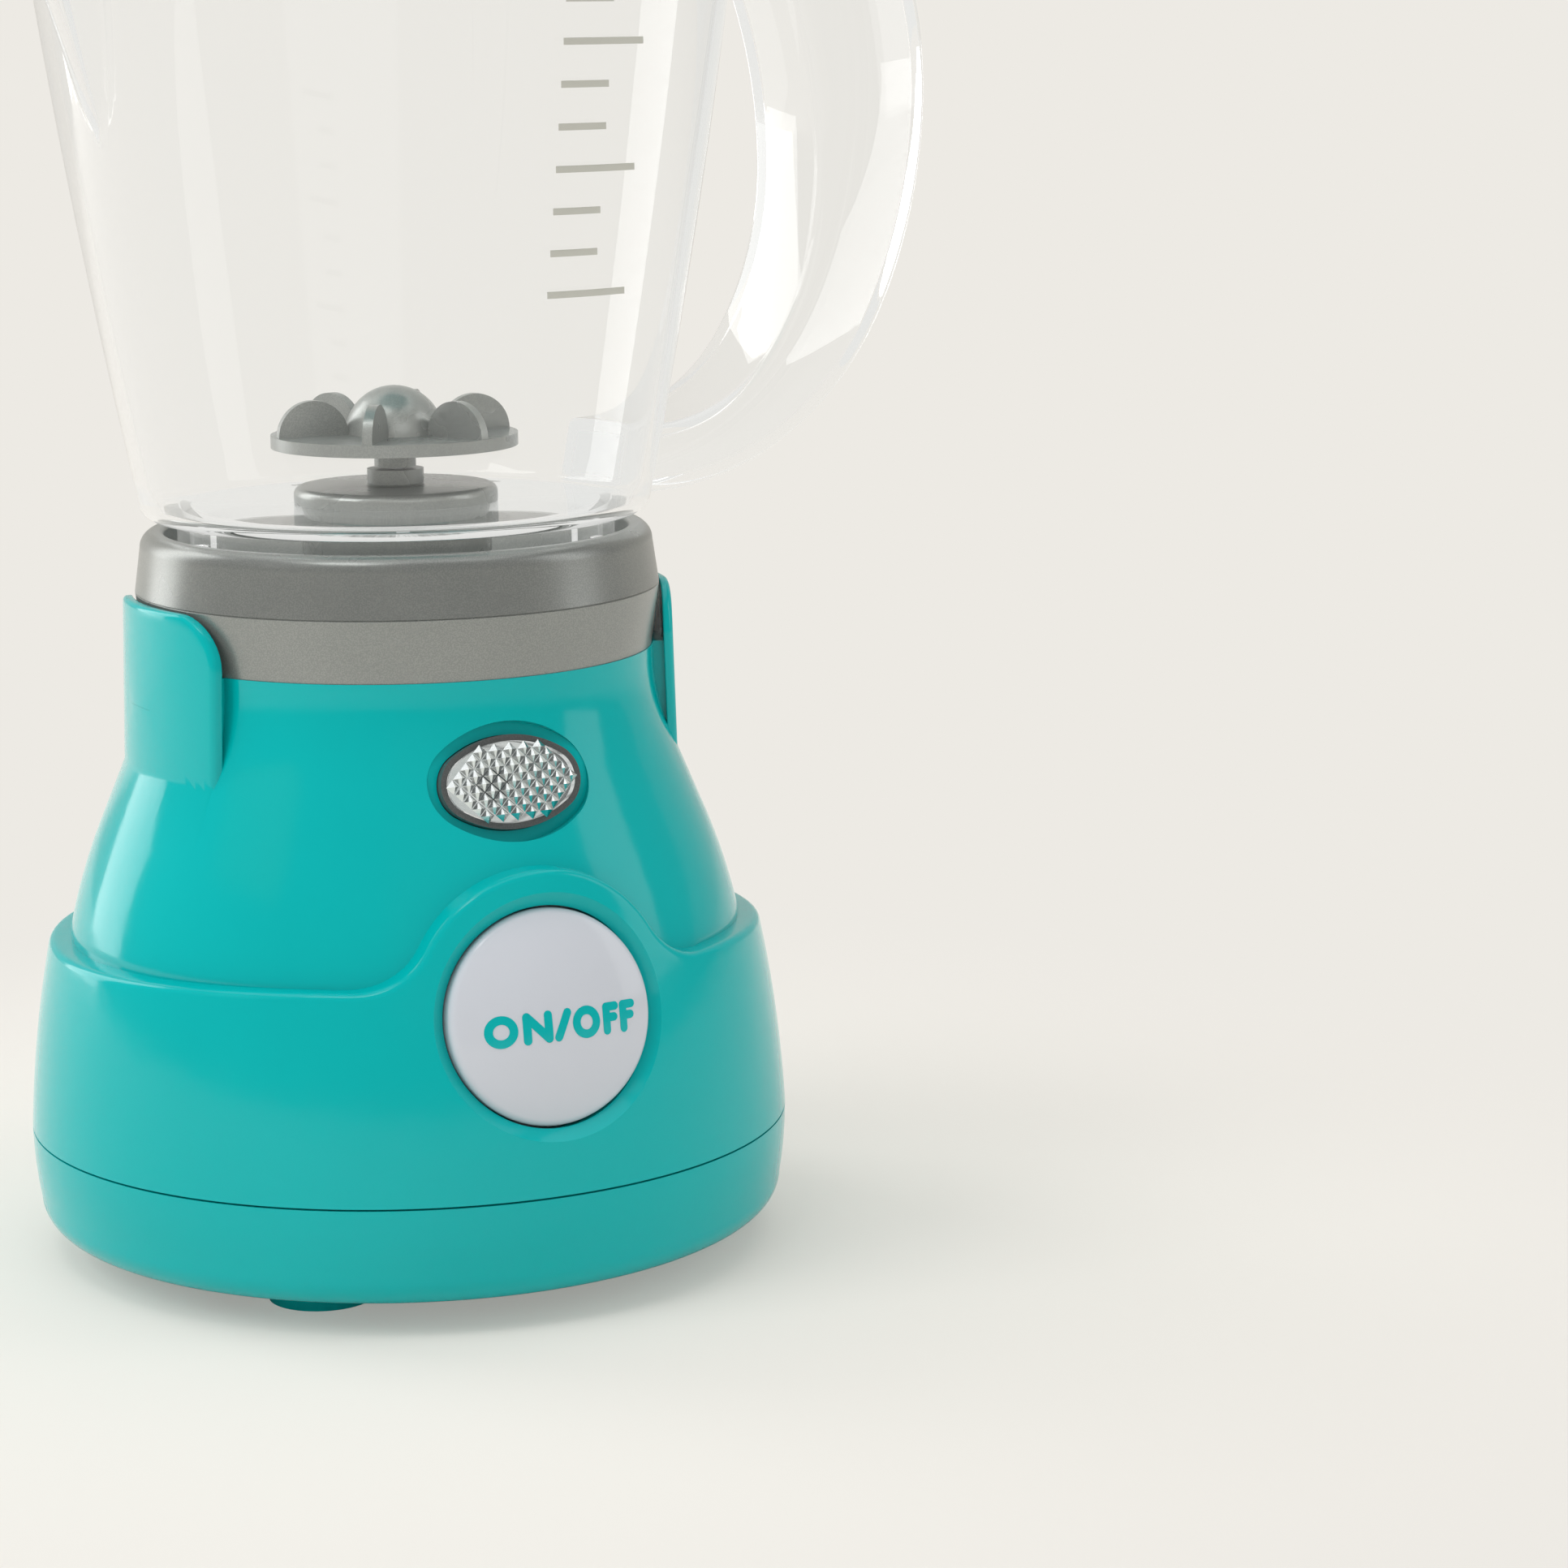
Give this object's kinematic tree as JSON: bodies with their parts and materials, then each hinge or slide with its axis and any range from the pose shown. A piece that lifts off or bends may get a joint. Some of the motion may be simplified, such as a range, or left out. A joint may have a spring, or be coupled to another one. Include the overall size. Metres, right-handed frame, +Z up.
{
  "type": "toy blender",
  "caption": "Toy kitchen blender: a battery base with a push button and lamp drives a spinning blade in a clear lift-off jug with handle, spout and lid.",
  "frame": {"origin": "on the base's upright axis at the plane its feet stand on", "axes": "+Z up through the jug; -Y is the front, where the push button faces; +X is the handle's side"},
  "size_m": [0.1715, 0.1204, 0.2675],
  "materials": {
    "teal_plastic": "glossy",
    "grey_plastic": "satin silver grey",
    "clear_plastic": "clear, polished",
    "lens_plastic": "clear, faceted",
    "white_plastic": "glossy",
    "inner_plastic": "natural moulding",
    "black_plastic": "satin",
    "steel": "plated",
    "brass": "turned",
    "cell_jacket": "plain bare sleeve"
  },
  "bodies": {
    "base": {"base_housing": "teal_plastic", "bottom_cover": "teal_plastic", "battery_door": "teal_plastic", "collar": "grey_plastic", "battery_cell_1": "cell_jacket", "battery_cell_2": "cell_jacket", "contact_bridge": "steel", "contact_plates": "steel", "button_spring": "steel", "switch_bracket": "inner_plastic", "push_switch": "black_plastic", "lens_bezel": "grey_plastic", "lens": "lens_plastic", "reflector": "white_plastic", "led": "lens_plastic", "gear_plate": "inner_plastic", "shaft_bush": "brass", "motor": "steel", "motor_cage": "inner_plastic", "cover_screws": "steel", "battery_door_screw": "steel", "collar_screws": "steel", "plate_screws": "steel", "bracket_screws": "steel"},
    "button": {"button_cap": "white_plastic", "switch_plunger": "white_plastic"},
    "drive": {"drive_gear": "white_plastic", "drive_shaft": "steel", "drive_coupling": "black_plastic"},
    "pinion": {"motor_shaft": "steel", "motor_pinion": "brass"},
    "jug": {"jug_front_half": "clear_plastic", "jug_back_half": "clear_plastic", "blade_mount": "grey_plastic", "blade_mount_nut": "grey_plastic"},
    "blade": {"blade": "grey_plastic", "blade_shaft": "steel", "jug_coupling": "black_plastic"},
    "lid": {"lid": "teal_plastic"}
  },
  "joints": [
    {"name": "button_press", "type": "slide", "parent": "base", "child": "button", "axis": [0, 0.9848, -0.1736], "range_m": [0, 0.0028], "stiffness_N_per_m": 300, "springref_m": -0.004, "deforming": ["button_spring"]},
    {"name": "drive_spin", "type": "hinge", "parent": "base", "child": "drive", "pos_m": [0, 0, 0.09], "axis": [0, 0, 1], "continuous": true},
    {"name": "pinion_spin", "type": "hinge", "parent": "base", "child": "pinion", "pos_m": [0, 0.018, 0.08], "axis": [0, 0, 1], "continuous": true},
    {"name": "jug_lift", "type": "slide", "parent": "base", "child": "jug", "axis": [0, 0, 1], "range_m": [0, 0.12]},
    {"name": "blade_spin", "type": "hinge", "parent": "jug", "child": "blade", "pos_m": [0, 0, 0.12], "axis": [0, 0, 1], "continuous": true},
    {"name": "lid_lift", "type": "slide", "parent": "jug", "child": "lid", "axis": [0, 0, 1], "range_m": [0, 0.08]}
  ],
  "couplings": [
    {"joint": "pinion_spin", "follows": "drive_spin", "ratio": -4},
    {"joint": "blade_spin", "follows": "drive_spin", "ratio": 1}
  ]
}
